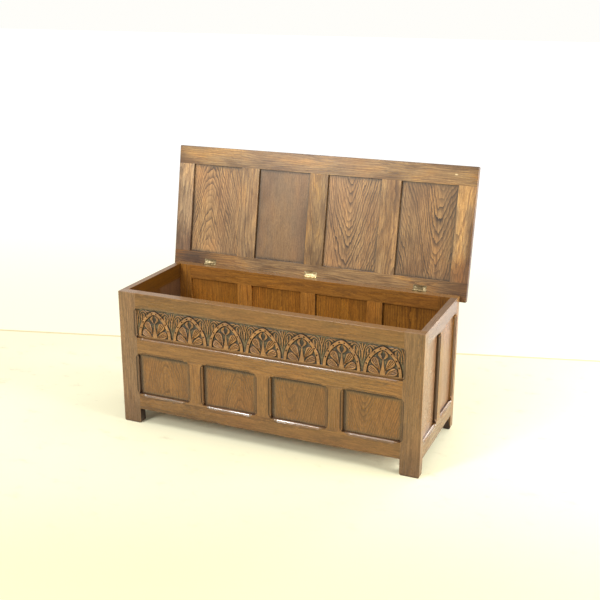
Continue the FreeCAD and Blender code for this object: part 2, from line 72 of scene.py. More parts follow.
ahead = Vector((math.sin(heading) * math.cos(dip), math.cos(heading) * math.cos(dip),
                -math.sin(dip)))
level = Vector((math.cos(heading), -math.sin(heading), 0))
upright = level.cross(ahead)
camera_right = math.cos(roll) * level + math.sin(roll) * upright
camera_up = math.cos(roll) * upright - math.sin(roll) * level


def in_scene(name, data):
    """A new object of the data, linked to the scene."""
    made = bpy.data.objects.new(name, data)
    bpy.context.scene.collection.objects.link(made)
    return made


lens = bpy.data.cameras.new("camera")
lens.lens = focal_length
camera = in_scene("camera", lens)
turned = Matrix((camera_right, camera_up, -ahead)).transposed().to_4x4()
camera.matrix_world = Matrix.Translation(eye) @ turned
bpy.context.scene.camera = camera


# -------- front frame
# Two corner stiles that run down as feet, three rails and three muntins, in oak planed
# by machine, mortised and tenoned, stained mid brown and waxed.  Their arrises are eased
# by hand, the outer ones more.
outer_ease, joint_ease, shortest_eased = 0.0016, 0.0004, 0.012
merge_reach, flat_angle = 0.000002, math.radians(1.5)
arris_angle, sharp_angle = math.radians(50), math.radians(35)
chest_half, chest_rim = 0.586, 0.522
chest_front, chest_back = -0.27851, 0.17149
inside_front, inside_back = chest_front + 0.017, chest_back - 0.016
inside_half, inside_foot, inside_head = chest_half - 0.012, 0.06, chest_rim - 0.0005
on_plane, edge_reach = 0.0002, 0.0018
quirk_floor, round_floor = 0.0024, 0.0082
panel_tongue = 0.008
under_mid_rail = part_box("front_mid_rail")[0].z


class Number:
    """A value that varies over a surface; a sum on it adds Math nodes to its finish."""

    def __init__(self, finish, socket):
        self.finish = finish
        self.socket = socket

    def worked(self, operation, *others):
        return self.finish.node("Math", {"operation": operation},
                                dict(enumerate((self, *others))))

    def __add__(self, other):
        return self.worked("ADD", other)

    def __sub__(self, other):
        return self.worked("SUBTRACT", other)

    def __rsub__(self, other):
        return self.finish.node("Math", {"operation": "SUBTRACT"}, {0: other, 1: self})

    def __mul__(self, other):
        return self.worked("MULTIPLY", other)

    def __truediv__(self, other):
        return self.worked("DIVIDE", other)

    def __pow__(self, other):
        return self.worked("POWER", other)

    def __abs__(self):
        return self.worked("ABSOLUTE")

    __radd__ = __add__
    __rmul__ = __mul__

    def between(self, low, high):
        """0 up to low, 1 from high on, eased between."""
        return self.finish.node("MapRange", {"interpolation_type": "SMOOTHSTEP"},
                                {0: self, 1: low, 2: high})


class Finish:
    """A material, or the world, and the nodes that it is made of."""

    def __init__(self, name, kept_in=bpy.data.materials):
        self.holder = kept_in.new(name)
        self.holder.use_nodes = True
        self.tree = self.holder.node_tree
        self.tree.nodes.clear()

    def node(self, kind, settings, inputs, output=0):
        """Adds a node: its settings first, then its sockets' values or links."""
        made = self.tree.nodes.new("ShaderNode" + kind)
        for name, value in settings.items():
            setattr(made, name, value)
        for key, value in inputs.items():
            if isinstance(value, Number):
                self.tree.links.new(value.socket, made.inputs[key])
            else:
                made.inputs[key].default_value = value
        return Number(self, made.outputs[output])

    def attribute(self, name, output=2):
        return self.node("Attribute", {"attribute_name": name}, {}, output)

    def axes(self, vector):
        split = self.node("SeparateXYZ", {}, {0: vector})
        return [Number(self, socket) for socket in split.socket.node.outputs]

    def scaled(self, vector, factors):
        return self.node("VectorMath", {"operation": "MULTIPLY"}, {0: vector, 1: factors})

    def noise(self, vector, scale=1.0, detail=2.0, roughness=0.5, stretch=None):
        """Noise over a vector, which is first multiplied by stretch."""
        if stretch:
            vector = self.scaled(vector, stretch)
        return self.node("TexNoise", {}, {"Vector": vector, "Scale": scale,
                                          "Detail": detail, "Roughness": roughness})

    def mix(self, factor, first, second, blend="MIX"):
        return self.node("Mix", {"data_type": "RGBA", "blend_type": blend},
                         {0: factor, 6: first, 7: second}, 2)

    def lay(self, share, shade, blend="MIX"):
        """Lays a shade over the colour so far, by its share."""
        self.colour = self.mix(share, self.colour, shade, blend)

    def bump(self, height, strength, distance):
        return self.node("Bump", {}, {"Strength": strength, "Distance": distance,
                                      "Height": height})

    def ended(self, shader, end="OutputMaterial"):
        last = self.tree.nodes.new("ShaderNode" + end)
        self.tree.links.new(shader.socket, last.inputs[0])
        return self.holder

    def surface(self, **sockets):
        """Ends the finish in one Principled surface."""
        named = {name.replace("_", " "): value for name, value in sockets.items()}
        return self.ended(self.node("BsdfPrincipled", {}, named))


def stain(red, green, blue):
    """A colour written as it looks, 0 to 255, as the finish needs it."""
    def light(level):
        share = level / 255
        return share / 12.92 if share <= 0.04045 else ((share + 0.055) / 1.055) ** 2.4
    return (light(red), light(green), light(blue), 1.0)


def wood(name, pale, deep, line, pore, ring, figure=1.0, gloss=0.26, inner=None,
         mottled=0.0, clouded=0.12, wild=3.0, framed=None, darker_span=None):
    """Waxed timber.  The grain attribute runs from the heart of the tree: along the
    board, across it and through it; the year rings are shells round that heart, which
    close in along the board.  Clouded timber has taken its stain in patches, and wild
    timber grew unevenly.  A framed board has old wax and dirt along its four edges, and
    a painted shadow of its frame there, which reaches further by framed along its head
    and its left, and a board given a span is darker low down towards its ends, over that
    span of its length, and along its outer ends, and has one pale nick."""
    finish = Finish(name)
    pale, deep, line, pore = (stain(*shade) for shade in (pale, deep, line, pore))
    grain = finish.attribute("grain", 1)
    tone, warmth, climb = finish.axes(finish.attribute("board", 1))
    heart = finish.node("VectorMath", {"operation": "LENGTH"},
                        {0: finish.scaled(grain, (0, 1, 1))}, 1)
    sway = finish.noise(grain, stretch=(3.4, 13, 13)) - 0.5
    ripple = finish.noise(grain, detail=3, stretch=(34, 110, 110)) - 0.5
    rings = (heart + climb) / ring + sway * wild + ripple * 0.8
    each = finish.node("TexWhiteNoise", {"noise_dimensions": "1D"},
                       {"W": rings.worked("FLOOR")})
    early = (1 - rings.worked("FRACT")) ** 2.0 * (0.35 + 0.65 * each)
    fibre = finish.noise(grain, detail=3, roughness=0.65, stretch=(12, 240, 240))
    flecks = finish.noise(grain, roughness=0.6, stretch=(110, 330, 330))
    streaks = finish.noise(grain, stretch=(24, 560, 560)).between(0.54, 0.7)
    ticks = finish.noise(grain, stretch=(48, 900, 900))
    pores = ticks.between(0.53, 0.64) * (0.35 + 0.65 * early)
    cloud = finish.noise(grain, 7.0, 3).between(0.35, 0.75)
    taken = finish.noise(grain, detail=4, stretch=(5, 15, 15))
    weave = fibre * (1 - mottled) + flecks * mottled
    finish.colour = finish.mix(weave.between(0.36, 0.64), deep, pale)
    finish.lay(early * figure, line)
    finish.lay(streaks * 0.45 * (1 - 0.6 * mottled), line)
    finish.lay(pores * 0.85, pore)
    finish.lay(cloud * 0.35, deep)
    finish.lay(taken.between(0.48, 0.66) * clouded, darker, "MULTIPLY")
    finish.lay((1 - taken.between(0.34, 0.5)) * clouded, paler, "MULTIPLY")
    redder = finish.noise(grain, stretch=(4, 11, 11)).between(0.4, 0.7)
    finish.lay(redder * 0.6, ruddier, "MULTIPLY")
    # Pale on the eased arrises for wear, and on the rim tops for wear and a painted
    # highlight.
    finish.lay(finish.attribute("arris") * 0.5, pale)
    dirt_and_shade = finish.attribute("dirt_and_shade")
    place = finish.node("TexCoord", {}, {}, 3)
    place_x, _, height = finish.axes(place)
    if inner:
        within = finish.attribute("inner")
        above_floor = height.between(*floor_line)
        finish.lay(within * above_floor, inner, "MULTIPLY")
        # Inside, darker low down by the floor of the chest and over its right half; the
        # inside of the left end takes painted shade.
        dirt_and_shade = dirt_and_shade + within * (1 - above_floor) * 0.85
        dirt_and_shade = dirt_and_shade + within * (1 - place_x.between(*left_end)) * 0.1
        dirt_and_shade = dirt_and_shade + within * place_x.between(*right_half) * 0.2
    # Darker at the very foot, and over the lowest part towards the floor.
    dirt_and_shade = dirt_and_shade + (1 - height.between(*foot_edge)) * 0.55
    height = height + (cloud - 0.5) * 0.05
    finish.lay((1 - height.between(0.0, foot_height)) * 0.34, dregs_and_shade)
    if darker_span:
        # Darker low down towards the ends, and along the outer ends.
        low_end = abs(place_x - 0.05).between(*darker_span) * (1 - height.between(*lid_foot))
        low_end = low_end + abs(place_x).between(*lid_ends) * 0.7
        finish.lay(low_end, lid_end_darkening, "MULTIPLY")
        nick = finish.node("VectorMath", {"operation": "DISTANCE"}, {
            0: finish.scaled(place, nick_squash), 1: nick_spot}, 1)
        nick = nick + (flecks - 0.5) * 0.012
        finish.lay((1 - nick.between(0.002, 0.007)) * 0.8, bare)
    if framed is not None:
        reach_x, reach_y, _ = finish.axes(finish.attribute("field", 1))
        off_x, off_y, _ = finish.axes(finish.attribute("spot", 1))
        margin_x = reach_x - framed / 2 - abs(off_x + framed / 2)
        margin_y = reach_y - framed / 2 - abs(off_y - framed / 2)
        margin = margin_x.worked("MINIMUM", margin_y)
        margin = margin + (flecks - 0.5) * 0.008 + (cloud - 0.5) * 0.004
        margin = margin + 0.02 * finish.attribute("inner")
        # Old wax, dirt and a painted shadow of the frame round the board's edges, reaching
        # further along its head and its left.
        finish.lay((1 - margin.between(0.001, 0.013)) * 0.62, old_wax_and_shadow)
        finish.lay((1 - margin.between(-0.002, 0.004)) * 0.85, dregs_and_shade)
    # Darkens each face by its marked dark stain and painted shade.
    finish.lay(dirt_and_shade * 0.92, dregs_and_shade)
    colour = finish.node("HueSaturation", {}, {
        "Color": finish.colour, "Value": 1 + tone, "Saturation": 1 + warmth})
    rough = gloss + 0.14 * pores + 0.05 * early + 0.07 * cloud + 0.1 * dirt_and_shade
    polish = finish.attribute("polish") * (0.25 + 0.75 * taken.between(0.42, 0.54))
    relief = finish.bump(1 - pores - 0.35 * early, 0.18, 0.0003)
    return finish.surface(Base_Color=colour, Roughness=rough - 0.08 * polish,
                          Coat_Weight=polish, Coat_Roughness=0.13, Coat_IOR=2.1,
                          Normal=relief)


# The dark brown serves for dregs of stain and for painted shade, and the grey-brown for old
# wax and a painted shadow.
bare, dregs_and_shade, old_wax_and_shadow = stain(238, 212, 168), stain(46, 26, 15), stain(88, 74, 54)
darker, paler = (0.54, 0.48, 0.42, 1.0), (1.45, 1.32, 1.05, 1.0)
ruddier, lid_end_darkening = (1.07, 0.95, 0.86, 1.0), (0.42, 0.34, 0.3, 1.0)
foot_edge, foot_height, floor_line = (0.001, 0.009), 0.16, (0.07, 0.09)
left_end, right_half = (-0.58, -0.5), (0.0, 0.55)
lid_foot, lid_ends = (0.59, 0.66), (0.565, 0.63)
nick_squash, nick_spot = (1, 1, 2.4), (0.53, 0.2511, 2.2793)
oak = wood("waxed oak frame", pale=(154, 112, 63), deep=(116, 81, 42),
           line=(80, 54, 30), pore=(52, 35, 20), ring=0.0075, figure=0.6,
           inner=(1.6, 1.38, 0.86, 1.0), mottled=0.35)
dice = random.Random(1660)
body_axes = {}


def is_inside(place, way):
    """True for a face of the carcase that looks into its inside."""
    middle = Vector((0, (chest_front + chest_back) / 2))
    wall = (abs(place.x) < inside_half and inside_front < place.y < inside_back
            and inside_foot < place.z < inside_head)
    return wall and (place.xy - middle).dot(way.xy) < 0


def measure_body(body, axes):
    """Keeps how far a body's timbers reach along its own three directions."""
    spots = [v.co for node, piece in frame["nodes"].items()
             if piece["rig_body"] == body and "hinge" not in node
             for v in piece.data.vertices]
    body_axes[body] = [(way, min(way.dot(p) for p in spots), max(way.dot(p) for p in spots))
                       for way in axes]


# How dark each kind of face is made, partly dark stain and partly painted shade: the
# quirks, rounds and reveals of the mouldings take painted shade, and a round takes more as
# it turns away from the face.
lid_edge_dark, run_out_dark, ledge_dark = 0.45, 0.15, 0.35
quirk_dark, under_mid_rail_dark, rail_quirk_dark = 0.92, 0.45, 0.1
side_round_dark, front_round_dark, turned_away_shade = 0.9, 0.28, 0.38
side_rail_dark, front_rail_dark = 0.02, 0.5
skin, run_out_slope, near_mid_rail = 0.0003, 0.08, 0.012


def stain_and_shade(body, through, middle, thickness, place, way, upright):
    """How dark a face is made, partly as dark stain and partly as painted shade: none on
    the broad faces, hardly any on the outer edges, most in the quirks of the uprights and
    under the mid rail and down the walls by the panels, while the rounds of the mouldings
    are kept clean by rubbing, those of the uprights less so, and take painted shade as they
    turn away from the face."""
    for axis, low, high in body_axes[body]:
        reach = axis.dot(place)
        if abs(axis.dot(way)) > 0.5 and min(reach - low, high - reach) < edge_reach:
            on_edge = body == "lid" and abs(axis.dot(through)) < 0.5
            return lid_edge_dark if on_edge else 0.0
    depth = thickness / 2 - abs(through.dot(place) - middle)
    if depth < skin:
        return 0.0
    if upright and abs(way.z) > run_out_slope:
        return run_out_dark
    if depth < quirk_floor:
        by_mid_rail = abs(place.z - under_mid_rail) < near_mid_rail
        return (quirk_dark if upright else
                under_mid_rail_dark if by_mid_rail else rail_quirk_dark)
    if depth < round_floor:
        on_side = abs(through.x) > 0.5
        turned = (1 - abs(through.dot(way))) ** 2
        if upright:
            left = side_round_dark if on_side else front_round_dark
            return min(1.0, left + turned_away_shade * turned)
        return (side_rail_dark if on_side else front_rail_dark) * turned
    return ledge_dark if way.z > 0.5 and place.z > under_mid_rail else 1.0


outer_panels = (0.26, 0.53)
upper_shine, outer_shine, shine_fall = 0.3, 0.55, 0.5


def shine_left(place):
    """How polished a round is: hands and sleeves have dulled the upper ones, and those
    by the outer panels and towards the right are duller too."""
    by_outer_panel = outer_panels[0] < abs(place.x) < outer_panels[1]
    return ((upper_shine if place.z > under_mid_rail else 1.0)
            * (1 - shine_fall * place.x) * (outer_shine if by_outer_panel else 1.0))


def baked(holder):
    """The plain mesh that an object's modifiers make."""
    ready = holder.evaluated_get(bpy.context.evaluated_depsgraph_get())
    return bpy.data.meshes.new_from_object(ready)


def whole_faces(node):
    """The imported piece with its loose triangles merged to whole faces."""
    work = bmesh.new()
    work.from_mesh(frame["nodes"][node].data)
    bmesh.ops.remove_doubles(work, verts=work.verts, dist=merge_reach)
    bmesh.ops.dissolve_limit(work, angle_limit=flat_angle, verts=work.verts,
                             edges=work.edges)
    return work


def as_mesh(work, name):
    """The worked shape as a plain mesh."""
    mesh = bpy.data.meshes.new(name)
    work.to_mesh(mesh)
    work.free()
    return mesh


def eased(node):
    """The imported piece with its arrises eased."""
    work = whole_faces(node)
    weight = work.edges.layers.float.new("bevel_weight_edge")
    planes = ((0, chest_half), (0, -chest_half), (1, chest_front), (1, chest_back),
              (2, chest_rim))
    for edge in work.edges:
        if not edge.is_manifold or edge.calc_length() < shortest_eased:
            continue
        if edge.calc_face_angle_signed() < arris_angle:
            continue
        touched = sum(all(abs(v.co[axis] - where) < on_plane for v in edge.verts)
                      for axis, where in planes)
        edge[weight] = 1.0 if touched > 1 else joint_ease / outer_ease
    mesh = as_mesh(work, node)
    mesh.materials.append(None)
    mesh.materials.append(None)
    mesh.shade_smooth()
    holder = in_scene("easing", mesh)
    ease = holder.modifiers.new("ease", "BEVEL")
    ease.width = outer_ease
    ease.segments = 2
    ease.limit_method = "WEIGHT"
    ease.use_clamp_overlap = False
    ease.material = 1
    done = baked(holder)
    done.set_sharp_from_angle(angle=sharp_angle)
    holder.modifiers.remove(ease)
    holder.data = done
    flat = holder.modifiers.new("flat faces", "WEIGHTED_NORMAL")
    flat.keep_sharp = True
    flat.weight = 100
    done = baked(holder)
    bpy.data.objects.remove(holder)
    return done


def mark(mesh, name, values, domain="FACE"):
    """Writes a number or a triple for each face or point, for its finish to read."""
    values = np.asarray(values, np.float32)
    kind, key = ("FLOAT_VECTOR", "vector") if values.ndim > 1 else ("FLOAT", "value")
    layer = mesh.attributes.new(name, kind, domain)
    layer.data.foreach_set(key, values.ravel())


def points_of(mesh):
    """Where the mesh's points lie, a row for each."""
    points = np.empty(len(mesh.vertices) * 3, np.float32)
    mesh.vertices.foreach_get("co", points)
    return points.reshape(-1, 3)


def mark_grain(mesh, along, across, heart, taper, tone, warmth):
    """Lays a board's grain: heart is the tree's middle, beside and behind the board's
    own middle, and taper is how fast the shells round it close in along the board."""
    places = points_of(mesh)
    middle = (places.min(0) + places.max(0)) / 2
    through = along.cross(across)
    local = (places - middle) @ np.array([along, across, through]).T
    local[:, 1] -= heart[0]
    local[:, 2] += heart[1]
    local[:, 0] += dice.random() * tree_length
    mark(mesh, "grain", local, "POINT")
    board = [[tone, warmth, taper * reach] for reach in local[:, 0]]
    mark(mesh, "board", board, "POINT")


def mark_field(mesh, along, across, clean_margin):
    """Marks where a point lies in the opening that a framed board fills."""
    local = points_of(mesh) @ np.array([along, across, Vector()]).T
    low, high = local.min(0), local.max(0)
    mark(mesh, "spot", local - (low + high) / 2, "POINT")
    reach = (high - low) / 2 - panel_tongue + clean_margin
    mark(mesh, "field", np.tile(reach, (len(local), 1)), "POINT")


tree_length = 9
heart_beside, heart_behind, tapers = (-0.05, 0.05), (0.03, 0.09), (-0.03, 0.03)
# How pale the rim tops are made, for wear and a painted highlight, less on the sides.
rim_wear_and_sheen, side_rim_wear_and_sheen, up_facing = 0.8, 0.25, 0.9
# Painted shade on the inside of the two end walls, out past this reach from the middle.
end_wall, end_wall_shade = chest_half - 0.06, 0.75
clean_round, broad_polish, side_rail_polish = 0.15, 0.12, 0.22
side_clean_margin = 0.02
tone_play = (-0.05, 0.05)


def timber(node, along, across, heart=None, taper=None, tone=0.0, warmth=0.0,
           finish=oak):
    """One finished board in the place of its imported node."""
    if heart is None:
        heart = (dice.uniform(*heart_beside), dice.uniform(*heart_behind))
    if taper is None:
        taper = dice.uniform(*tapers)
    mesh = eased(node)
    arris = np.empty(len(mesh.polygons), np.int32)
    mesh.polygons.foreach_get("material_index", arris)
    on_side = "_side_" in node
    # The eased arrises are paled for wear, the rim tops for wear and a painted highlight.
    rim_wear_and_sheen_share = side_rim_wear_and_sheen if on_side else rim_wear_and_sheen
    wear_and_sheen = [1.0 if on else
            rim_wear_and_sheen_share * (face.normal.z > up_facing and face.center.z > chest_rim - 0.001)
            for on, face in zip(arris, mesh.polygons)]
    body = frame["nodes"][node]["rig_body"]
    mark(mesh, "arris", [(body != "lid") * share for share in wear_and_sheen])
    inside = [is_inside(face.center, face.normal) for face in mesh.polygons]
    mark(mesh, "inner", inside)
    through = along.cross(across)
    reaches = [through.dot(v.co) for v in mesh.vertices]
    thickness = max(reaches) - min(reaches)
    # Inside faces get only painted shade, on the end walls; outside faces get stain and
    # painted shade from their mouldings.
    dirt_and_shade = [end_wall_shade * abs(face.normal.x) * (abs(face.center.x) > end_wall)
             if hidden else
             stain_and_shade(body, through, min(reaches) + thickness / 2, thickness,
                        face.center, face.normal, along not in (long_way, deep_way))
             for face, hidden in zip(mesh.polygons, inside)]
    # Each face's dark stain and painted shade, for its finish to lay on.
    mark(mesh, "dirt_and_shade", dirt_and_shade)
    broad = side_rail_polish if "side_bottom" in node else broad_polish
    mark(mesh, "polish",
         [(not hidden) * (shine_left(face.center) if 0 < left < clean_round else
                          broad * (left == 0 and (on_side or face.normal.z > up_facing)))
          for face, left, hidden in zip(mesh.polygons, dirt_and_shade, inside)])
    mark_grain(mesh, along, across, heart, taper, tone + dice.uniform(*tone_play), warmth)
    if "panel" in node:
        mark_field(mesh, along, across, side_clean_margin * on_side)
    mesh.polygons.foreach_set("material_index", np.zeros_like(arris))
    mesh.materials.clear()
    mesh.materials.append(finish)
    board = in_scene(f"{node}.finished", mesh)
    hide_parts(node)
    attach(board, body)


long_way, deep_way, up_way = Vector((1, 0, 0)), Vector((0, 1, 0)), Vector((0, 0, 1))
measure_body("chest", (long_way, deep_way, up_way))
timber("front_top_rail", long_way, up_way, tone=-0.08)
timber("front_mid_rail", long_way, up_way)
timber("front_bottom_rail", long_way, up_way)
front_uprights = {
    "front_left_stile": (0.02, -0.14), "front_right_stile": (-0.06, -0.1),
    "front_muntin_1": (0.03, 0.0), "front_muntin_2": (0.12, 0.0),
    "front_muntin_3": (-0.05, 0.0)}
for name, (tone, warmth) in front_uprights.items():
    timber(name, up_way, long_way, tone=tone, warmth=warmth)


# -------- front panels
# Four flat boards of crown-cut oak, grain upright, held loose in the grooves of the
# frame and stained a little darker than it.
oak_panel = wood("waxed oak panel", pale=(152, 107, 57), deep=(112, 77, 40),
                 line=(74, 48, 25), pore=(46, 30, 17), ring=0.0075,
                 figure=0.95, inner=(1.82, 1.6, 0.86, 1.0), mottled=0.45, framed=0.008)
front_boards = {
    "front_panel_1": ((0.01, 0.035), 0.22, 0.08),
    "front_panel_2": ((0.04, 0.03), 0.24, 0.0),
    "front_panel_3": ((-0.03, 0.03), -0.2, 0.03),
    "front_panel_4": ((-0.03, 0.018), -0.3, 0.0)}
for name, (heart, taper, tone) in front_boards.items():
    timber(name, up_way, long_way, heart, taper, tone, finish=oak_panel)


# -------- carved frieze
# One long board under the top rail, carved in low relief with seven pointed arches.
# Each holds a bell-footed stem, a bud and six leaves, and forked stalks with curls fill
# the spandrels.  Dark stain is left in the ground and the high points are rubbed clean;
# the dark line along both edges of each arch band is stain and painted shade.
field_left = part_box("front_left_stile")[1].x
field_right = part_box("front_right_stile")[0].x
field_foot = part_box("front_mid_rail")[1].z
field_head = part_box("front_top_rail")[0].z
ground_depth, board_thickness, board_tongue = 0.012, 0.007, 0.008
field_play = 0.0005
arches = 7
mm = 1000.0
pitch = (field_right - field_left) / arches * mm
edge = pitch / 2
field_rise = (field_head - field_foot) * mm
grid_step, kept_share, weld_reach = 0.6, 0.29, 0.00001
strip_top, strip_high = 9.6, 3.2
band_width, band_high = 11.6, 5.8
arch_gap, arch_foot, arch_head, apex_round = 8.4, 7.0, 1.6, 9.0
arch_span = (pitch - arch_gap) / 2
arch_rise = field_rise - arch_foot - arch_head
arch_radius = (arch_rise ** 2 + arch_span ** 2) / (2 * arch_span)
punch_places, punch_wide, punch_long, punch_deep = (9.5, 29.5, 47.0, 57.5), 3.8, 4.6, 5.0
stem_neck, stem_bell, stem_flare, stem_rise = 1.9, 10.0, 1.7, 56
stem_high, stem_drop, stem_fade = 4.8, 2.4, (58, 68)
border_width, hand_scale, hand_wander, hand_seed = 0.002, 38, 0.0009, 7


def step_up(low, high, value):
    share = np.clip((value - low) / (high - low), 0, 1)
    return share * share * (3 - 2 * share)


def course(points, count=26):
    """Smooth line through the points (across, up, half width), in mm."""
    points = np.array(points, float)
    ends = np.vstack([2 * points[0] - points[1], points, 2 * points[-1] - points[-2]])
    line = []
    for t in np.linspace(0, len(points) - 1, count):
        i = min(int(t), len(points) - 2)
        f = t - i
        a, b, c, d = ends[i:i + 4]
        line.append(0.5 * (2 * b + (c - a) * f + (2 * a - 5 * b + 4 * c - d) * f ** 2
                           + (3 * b - a - 3 * c + d) * f ** 3))
    return np.array(line)


def stroke(across, up, points, height, flutes=(), flute_depth=0.0, flat=0.35):
    """Height of a rounded form that swells along a line, with flutes down its length;
    flat is how much of its height it keeps at its edges."""
    line = course(points)
    best = np.full(across.shape, 9.0)
    side = np.zeros(across.shape)
    travel = np.zeros(across.shape)
    for i, (x, y, radius) in enumerate(line):
        before, after = line[max(i - 1, 0)], line[min(i + 1, len(line) - 1)]
        way = (after - before)[:2] / np.hypot(*(after - before)[:2])
        gap = np.hypot(across - x, up - y) / radius
        nearer = gap < best
        best = np.where(nearer, gap, best)
        offset = ((up - y) * way[0] - (across - x) * way[1]) / radius
        side = np.where(nearer, offset, side)
        travel = np.where(nearer, i / (len(line) - 1), travel)
    dome = np.sqrt(np.clip(1 - best ** 2, 0, 1))
    form = height * (flat * (1 - step_up(0.86, 1.02, best)) + (1 - flat) * dome)
    for flute in flutes:
        cut = np.exp(-((side - flute) / 0.1) ** 2) * (best < 1) * step_up(0, 0.1, travel)
        form -= flute_depth * cut * (1 - 0.75 * step_up(0.8, 1.0, best) * (travel > 0.98))
    return np.clip(form, 0, None)


# Strokes of the carving: points across, up and half as wide, then height, flutes, their
# depth and flatness.  Those of the spandrel, its stalk, fork, bud, side stalk, two curls,
# top leaf and tip, are measured from the edge between two arches.
bud_leaf = ([(1.8, 64, 1), (8, 70, 3), (12.8, 79, 4.7), (9.5, 86.5, 3.4),
             (4.2, 91.5, 1.3)], 4.6, (0.15,), 1.3)
upper_leaf = ([(11, 23, 1.4), (15.4, 33.5, 4.5), (22, 43, 9.8),
               (28.9, 53.8, 14.2)], 5.4, (-0.4, 0, 0.4), 2.8, 0.72)
lower_leaf = ([(14, 10, 1.8), (20, 13, 5.8), (28.2, 17.6, 10.6),
               (38.6, 22.8, 14.5)], 5.4, (-0.4, 0, 0.4), 2.8, 0.72)
spandrel = (
    ([(0, 44, 0.9), (0, 60, 2.2), (0, 74, 3.6), (0, 81, 3)], 4.6),
    ([(-1, 79, 2.2), (-4.6, 91, 2.3), (-9.5, 107, 2)], 4.4),
    ([(0, 92, 1.2), (0, 100, 3), (0, 110, 2)], 3.6),
    ([(-8.5, 56, 1), (-9, 68, 2.6), (-10.5, 79, 1.8), (-11.8, 92, 1.8),
      (-19, 103, 1.7)], 4),
    ([(-17.5, 66, 1.6), (-20, 76, 3.4), (-17.5, 87, 3), (-21, 94, 1.8)], 4, (0,), 1.4),
    ([(-25.5, 76, 1.3), (-30, 84, 3.4), (-30.5, 92, 3), (-26.5, 98, 2)], 4, (0,), 1.4),
    ([(-21, 103, 2.2), (-27, 106.5, 2.6), (-35, 103, 3.2), (-41.5, 97, 1.8)], 4, (0,), 1.4),
    ([(-37, 108.5, 1.8), (-46, 106, 2.6), (-54, 106.5, 1.4)], 3.6))
strokes = [bud_leaf, upper_leaf, lower_leaf]
for points, *form in spandrel:
    strokes.append(([(edge + x, up, half_width) for x, up, half_width in points], *form))


def arch_relief(across, up):
    """Height of the carving over its ground, in mm, for half an arch from its middle."""
    lean_out = arch_radius - arch_span
    from_centre = np.hypot(np.hypot(across, apex_round) + lean_out, up - arch_foot)
    band_line = arch_radius - band_width / 2
    off_band = from_centre - band_line
    half = band_width / 2
    band = (1 - step_up(half - 1.1, half + 0.5, np.abs(off_band)))
    band = band * (band_high - 0.02 * off_band ** 2) * step_up(4.0, 6.0, up)
    for place in punch_places:
        reach = math.hypot(place, apex_round) + lean_out
        lean = math.acos(reach / band_line)
        above = up - arch_foot - band_line * math.sin(lean)
        out = (across - place) * math.cos(lean) + above * math.sin(lean)
        on = above * math.cos(lean) - (across - place) * math.sin(lean)
        punch = np.abs(on) / punch_long + np.abs(out) / punch_wide
        band -= punch_deep * (1 - step_up(0.7, 1.0, punch)) * (band > 2.5)
    strip = (1 - step_up(strip_top - 1.5, strip_top, up)) * strip_high * step_up(-2, 1, up)
    rise = np.clip((up - strip_top) / stem_rise, 0, 1)
    stem_half = stem_neck + stem_bell * (1 - rise) ** stem_flare
    stem = np.sqrt(np.clip(1 - (across / stem_half) ** 2, 0, 1))
    stem = stem * (stem_high - stem_drop * rise)
    stem = stem * (1 - step_up(*stem_fade, up)) * (up > 5)
    height = np.maximum.reduce(
        [band, strip, stem] + [stroke(across, up, *drawn) for drawn in strokes])
    height = height * (1 - 0.28 * step_up(0.4, 1.6, off_band - half))
    by_band = np.exp(-((np.abs(off_band) - half - 1.8) / 1.4) ** 2)
    return height - 0.8 * (height < 0.8) * by_band


def softened(field, reach):
    """The field blurred over some cells, its edges mirrored."""
    taps = np.arange(-3 * reach, 3 * reach + 1)
    weights = np.exp(-0.5 * (taps / reach) ** 2)
    weights /= weights.sum()
    for axis in (0, 1):
        padded = np.pad(field, [(len(taps) // 2,) * 2 if a == axis else (0, 0)
                                for a in (0, 1)], mode="reflect")
        field = sum(w * np.take(padded, np.arange(i, i + field.shape[axis]), axis)
                    for i, w in enumerate(weights))
    return field


columns = int(pitch / 2 / grid_step)
rows = int((field_rise - 2 * field_play * mm) / grid_step)
across_line = np.linspace(0, pitch / 2, columns + 1)
up_line = np.linspace(field_play * mm, field_rise - field_play * mm, rows + 1)
across_grid, up_grid = np.meshgrid(across_line, up_line)
relief = arch_relief(across_grid, up_grid)
hollow = np.clip((softened(relief, 4) - relief - 0.45) / 1.0, 0, 1)
from_arch = np.hypot(np.hypot(across_grid, apex_round) + arch_radius - arch_span,
                     up_grid - arch_foot) - arch_radius + band_width / 2
# A dark line along both edges of each arch band: stain and painted shade at the band's
# foot.
outline = np.exp(-((np.abs(from_arch) - band_width / 2 - 1.7) / 1.7) ** 2)
hollow = hollow + 0.95 * outline * (up_grid > strip_top) * (relief < 2.5)
outside = step_up(0.0, 2.0, from_arch - band_width / 2)
hollow = hollow + 0.26 * (1 - step_up(7.0, 10.5, up_grid))
hollow = np.minimum(hollow, 1 - 0.5 * outside)
bud = np.exp(-((across_grid / 6.5) ** 2 + ((up_grid - 76) / 12.5) ** 2) ** 2)
hollow = np.clip(hollow + 0.5 * bud * (relief < 1), 0, 1)

half = bmesh.new()
cells = [half.verts.new((across_line[i] / mm, -relief[j, i] / mm, up_line[j] / mm))
         for j in range(rows + 1) for i in range(columns + 1)]
for j in range(rows):
    for i in range(columns):
        a = j * (columns + 1) + i
        half.faces.new((cells[a], cells[a + 1], cells[a + columns + 2],
                        cells[a + columns + 1]))
arch = in_scene("arch", as_mesh(half, "half arch"))
thin = arch.modifiers.new("thin", "DECIMATE")
thin.ratio = kept_share
twin = arch.modifiers.new("twin", "MIRROR")
twin.use_axis[0] = True
twin.merge_threshold = weld_reach


